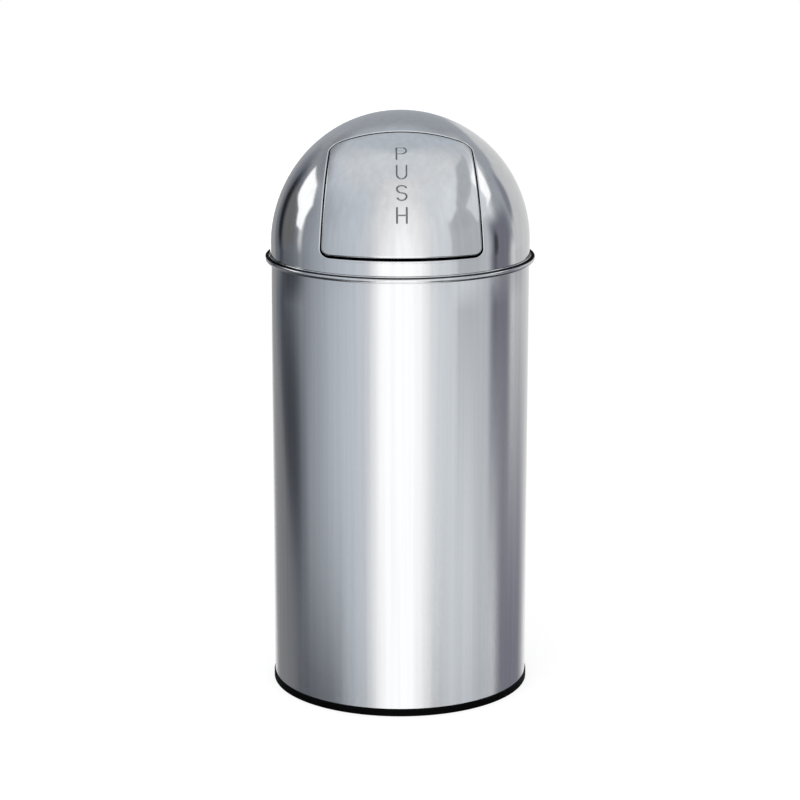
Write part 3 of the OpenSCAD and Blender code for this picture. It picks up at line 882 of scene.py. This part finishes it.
# Soft-edged shapes that only reflections show, such as the walls and windows of a room. Azimuth
# and elevation, in degrees, give the way to a card's middle: azimuth 0 is behind the camera and 90
# is to the right. Width, height and roll are angles too. Four soft shares of the size fade the
# left, right, low and high edges, and a single share makes the card oval and fades it all round.
# A card of a higher layer is in front.
# name, azimuth, elevation, width, height, strength, tint, soft edges, roll, layer
CARDS = [
    ("overhead", 0, 72, 360, 36, 0.97, MILD, (HARD, HARD, 0.6, HARD), 0, 0),
    ("overhead_back", 180, 62, 190, 56, 0.74, COOL, (0.3, 0.3, 0.2, HARD), 0, 1),
    ("back_grey", 180, 32, 90, 66, 0.48, COOL, (0.25, 0.4, 0.1, 0.35), 0, 2),
    ("side_left", -70, 4, 110, 150, 0.85, COOL, (0.15, 0.25, 0.1, 0.3), 0, 2),
    ("side_right", 58, 20, 90, 90, 1.02, MILD, (0.3, 0.2, 0.1, 0.2), 0, 2),
    ("side_right_back", 145, 2, 60, 50, 0.8, WHITE, 0.15, 0, 5),
    ("side_right_arch", 72, 0, 46, 90, 0.67, MILD, (0.07, 0.5, 0.2, 0.15), 0, 3),
    ("arch_foot", 51, 5, 14, 40, 0.67, MILD, (0.15, 0.4, 0.3, 0.15), 0, 3.5),
    ("side_left_dark", -103, 0, 138, 100, 0.21, NAVY, (0.23, 0.65, 0.1, 0.32), 0, 3),
    ("left_high_grey", -130, 37, 84, 22, 0.38, COOL, (0.3, 0.3, 0.4, 0.5), 0, 4),
    ("arch_corner", 52.8, 36.7, 24, 38, 1.08, MILD, (0.5, 0.12, 0.2, 0.2), -39.7, 4),
    ("under", 0, -56, 360, 74, 0.3, MILD, (HARD, HARD, HARD, 0.1), 0, 4),
    ("under_deep", 0, -66, 360, 52, 0.06, COOL, (HARD, HARD, HARD, 0.12), 0, 6),
    ("shade_left", -108, -42, 94, 32, 0.055, COOL, (0.25, 0.12, 0.2, 0.14), 0, 6.3),
    ("shade_right", 110, -42, 96, 32, 0.055, COOL, (0.12, 0.25, 0.2, 0.14), 0, 6.3),
    ("left_foot", -80, -26.2, 88, 20, 0.05, NAVY, (0.25, 0.35, 0.2, 0.4), 0, 6.6),
    ("left_strip", -154.5, -3, 25, 30, 0.42, WHITE, (0.15, 0.35, 0.25, 0.4), 0, 5),
    ("right_low", 123, -25, 70, 34, 0.26, PLUM, (0.25, 0.35, 0.38, 0.36), 0, 5.5),
    ("right_grey", 118, 15, 50, 46, 0.5, COOL, 0.35, 0, 4),
    ("right_grey_high", 138, 31, 40, 18, 0.5, COOL, 0.4, 0, 6),
    ("front_high", 2, 22, 66, 110, 1.52, WHITE, (0.5, 0.5, 0.2, 0.75), 0, 5),
    ("front_low", 0, -72, 160, 40, 1.5, WHITE, (0.05, 0.05, HARD, 0.3), 0, 7),
    ("front_mid", 0, -45, 62, 26, 1.5, WHITE, (0.1, 0.1, 0.3, 0.3), 0, 7.3),
    ("front_band", 0, -22, 68, 38, 1.65, WHITE, (0.35, 0.42, 0.3, 0.14), 0, 7.6),
    ("right_glow", 60, -17.5, 56, 16, 0.98, MILD, (0.3, 0.5, 0.35, 0.45), 0, 6),
    ("left_core", -133, 5, 17, 46, 0.02, PLUM, 0.6, 10, 6),
    ("left_core_low", -114, -14.3, 52, 9, 0.07, NAVY, (0.35, 0.45, 0.4, 0.4), -5, 6),
    ("left_warm", -119, 5, 28, 36, 0.2, WHITE, (0.3, 0.25, 0.3, 0.3), 12, 6.5),
    ("left_low", -121.6, -21.4, 86, 12, 0.32, WHITE, (0.2, 1.0, 0.3, 0.12), -10.3, 7),
    ("right_dark", 99.5, -1, 39, 40, 0.24, PLUM, (0.25, 0.28, 0.25, 0.3), 0, 6),
    ("right_line", 92, -3, 7, 22, 0.05, PLUM, 0.6, 0, 7),
    ("right_curve", 123, 14, 13, 30, 0.3, PLUM, 0.6, -22, 6.5),
    ("left_spot", -172, -3, 27, 19, 1.66, WHITE, 0.2, 14, 8),
    ("window_left_foot", -99.5, 0, 8, 26, 0.88, WHITE, (0.3, 0.3, 0.5, 0.1), 0, 7),
]

# Shapes with straight sharp edges, placed by where the dome shows them to the camera: each corner
# is in millimetres to the right of the dome's middle and above it, as the camera sees it
# name, strength, tint, layer, corners
PANES = [
    ("window_left", 1.66, WHITE, 8,
     [(-94.5, 82.5), (-93, 61.5), (-98, 39), (-106, 26), (-111.5, 10), (-116.5, 16.5),
      (-114, 34), (-114.5, 51.5)]),
    ("window_right", 1.62, WHITE, 9,
     [(82, 90), (94.5, 70), (102, 50.5), (98.5, 38), (94.5, 33.5), (86.5, 42.5), (81.5, 56),
      (79.5, 70.5)]),
    ("arch_light", 1.0, MILD, 7,
     [(79, 94.5), (75.5, 75), (71, 33), (84, 18), (98, 28.5), (98.5, 60)]),
    ("arch_top", 0.64, MILD, 8,
     [(70.5, 96.5), (62, 81), (62.5, 42), (63.5, 34), (57, 19.5), (59.5, 9), (87, 18.5),
      (80, 37), (81.5, 46), (78.5, 73.5)]),
]


def soft_mask(tree, soft):
    """1 in the middle of a card, falling to 0 at its edges."""
    place = tree.nodes.new("ShaderNodeTexCoord").outputs["UV"]

    def ramp(value, edge, inner):
        node = tree.nodes.new("ShaderNodeMapRange")
        node.interpolation_type = "SMOOTHSTEP"
        node.inputs["From Min"].default_value = edge
        node.inputs["From Max"].default_value = inner
        tree.links.new(value, node.inputs["Value"])
        return node.outputs["Result"]

    if isinstance(soft, float):
        away = tree.nodes.new("ShaderNodeVectorMath")
        away.operation = "DISTANCE"
        away.inputs[1].default_value = (0.5, 0.5, 0)
        tree.links.new(place, away.inputs[0])
        return ramp(away.outputs["Value"], 0.5, 0.5 * (1 - soft))
    split = tree.nodes.new("ShaderNodeSeparateXYZ")
    tree.links.new(place, split.inputs[0])
    total = ramp(split.outputs["X"], 0, soft[0])
    for axis, edge, inner in (("X", 1, 1 - soft[1]), ("Y", 0, soft[2]), ("Y", 1, 1 - soft[3])):
        product = tree.nodes.new("ShaderNodeMath")
        product.operation = "MULTIPLY"
        tree.links.new(total, product.inputs[0])
        tree.links.new(ramp(split.outputs[axis], edge, inner), product.inputs[1])
        total = product.outputs[0]
    return total


def card_point(azimuth, elevation, layer):
    """Where a direction meets the ball of a layer."""
    az, el = math.radians(azimuth), math.radians(max(-90, min(90, elevation)))
    way = Vector((math.sin(az) * math.cos(el), -math.cos(az) * math.cos(el), math.sin(el)))
    return CARD_MIDDLE + (CARD_DISTANCE - LAYER_STEP * layer) * way


def show_card(name, mesh, strength, tint, soft=None):
    """A glowing object that only reflections show, with sharp edges if soft isn't given."""
    card = bpy.data.objects.new(name, mesh)
    bpy.context.scene.collection.objects.link(card)
    material = bpy.data.materials.new(name)
    material.use_nodes = True
    tree = material.node_tree
    tree.nodes.clear()
    out = tree.nodes.new("ShaderNodeOutputMaterial")
    glow = tree.nodes.new("ShaderNodeEmission")
    glow.inputs["Color"].default_value = (*tint, 1)
    glow.inputs["Strength"].default_value = strength
    shown = glow
    if soft is not None:
        shown = tree.nodes.new("ShaderNodeMixShader")
        clear = tree.nodes.new("ShaderNodeBsdfTransparent")
        tree.links.new(soft_mask(tree, soft), shown.inputs["Fac"])
        tree.links.new(clear.outputs[0], shown.inputs[1])
        tree.links.new(glow.outputs[0], shown.inputs[2])
    tree.links.new(shown.outputs[0], out.inputs["Surface"])
    mesh.materials.append(material)
    card.visible_camera = False
    card.visible_diffuse = False
    card.visible_transmission = False
    card.visible_volume_scatter = False
    card.visible_shadow = False


def meeting(start, way, middle, radius, side):
    """Where a ray meets a ball: side is -1 for the near side and 1 for the far side."""
    away = start - middle
    along = away.dot(way)
    half = math.sqrt(along ** 2 - away.dot(away) + radius ** 2)
    return start + (side * half - along) * way


def mirrored(right, above, layer):
    """The place on a layer's ball that the dome shows to the camera."""
    middle = Vector((0, 0, DOME_Z)) * MM
    aim = middle + CAMERA_ANGLES.to_matrix() @ Vector((right, above, 0)) * MM
    ahead = (aim - CAMERA_AT).normalized()
    spot = meeting(CAMERA_AT, ahead, middle, DOME_R * MM, -1)
    back = ahead.reflect((spot - middle).normalized())
    return meeting(spot, back, CARD_MIDDLE, CARD_DISTANCE - LAYER_STEP * layer, 1)


def build_pane(name, strength, tint, layer, corners):
    """One face with the given corners."""
    points = [tuple(mirrored(right, above, layer)) for right, above in corners]
    mesh = bpy.data.meshes.new(name)
    mesh.from_pydata(points, [], [tuple(range(len(points)))])
    show_card(name, mesh, strength, tint)


def build_card(name, azimuth, elevation, width, height, strength, tint, soft, roll, layer):
    """A grid of faces over a range of angles, so that it follows its ball."""
    across = max(LEAST_CELLS, round(width / CARD_CELL))
    tall = max(LEAST_CELLS, round(height / CARD_CELL))
    turn = math.radians(roll)
    points, faces = [], []
    for k in range(tall + 1):
        for i in range(across + 1):
            a = (i / across - 0.5) * width
            e = (k / tall - 0.5) * height
            a, e = a * math.cos(turn) - e * math.sin(turn), a * math.sin(turn) + e * math.cos(turn)
            points.append(tuple(card_point(azimuth + a, elevation + e, layer)))
    for k in range(tall):
        for i in range(across):
            a = k * (across + 1) + i
            faces.append((a, a + 1, a + across + 2, a + across + 1))
    mesh = bpy.data.meshes.new(name)
    mesh.from_pydata(points, [], faces)
    uv = mesh.uv_layers.new(name="UVMap")
    for loop in mesh.loops:
        k, i = divmod(loop.vertex_index, across + 1)
        uv.data[loop.index].uv = (i / across, k / tall)
    show_card(name, mesh, strength, tint, soft)


LAMP_AT = Vector((-1.6, -2.6, 3.6))
LAMP_AIM = Vector((0, 0, 0.3))
LAMP_SIZE = 3.0
LAMP_POWER = 30.0


def build_light():
    """A wide soft lamp from the upper left."""
    light = bpy.data.lights.new("soft_key", "AREA")
    light.shape = "SQUARE"
    light.size = LAMP_SIZE
    light.energy = LAMP_POWER
    lamp = bpy.data.objects.new("soft_key", light)
    bpy.context.scene.collection.objects.link(lamp)
    lamp.location = LAMP_AT
    lamp.rotation_euler = (LAMP_AIM - LAMP_AT).to_track_quat("-Z", "Y").to_euler()
    lamp.visible_glossy = False


# Everything together

# Colour of painted shade on the tops of rolled edges and inside the body
painted_shade_steel = (0.08, 0.082, 0.087)
# Colour of painted shade in the letter grooves
letter_shade_steel = (0.24, 0.245, 0.255)
dome_steel = stainless("dome_steel", 0.075, 0.11, marked=painted_shade_steel)
flap_steel = stainless("flap_steel", 0.075, 0.11, marked=letter_shade_steel)
body_steel = stainless("body_steel", 0.1, 0.15, marked=painted_shade_steel)
inner_steel = stainless("inner_steel", 0.22, 0.34)
zinc_sheet = galvanised()
wire_steel = plated_wire("wire_steel", (0.55, 0.55, 0.56))
black_plastic = moulded("black_plastic_finish", (0.001, 0.001, 0.0011), (0.003, 0.003, 0.0035),
                        0.5, 0.62, specular=0.03)
black_rubber = moulded("black_rubber_finish", (0.015, 0.015, 0.015), (0.03, 0.03, 0.03), 0.6,
                       0.75)
white_nylon = moulded("white_nylon_finish", (0.74, 0.72, 0.66), (0.8, 0.79, 0.75), 0.35, 0.45)

slots = {"stainless_sheet": inner_steel, "galvanised_sheet": zinc_sheet, "steel_wire": wire_steel,
         "black_plastic": black_plastic, "black_rubber": black_rubber,
         "white_nylon": white_nylon}
for part in frame["record"]["subparts"]:
    mesh = nodes[part["node"]].data
    mesh.materials.clear()
    mesh.materials.append(slots[part["material_slot"]])

build_dome(dome_steel)
build_flap(flap_steel)
build_body(body_steel)
build_foot(black_plastic)
build_spring(wire_steel)

build_world()
build_floor()
for card in CARDS:
    build_card(*card)
for pane in PANES:
    build_pane(*pane)
build_light()
build_camera()
bpy.context.scene.view_settings.view_transform = "Standard"
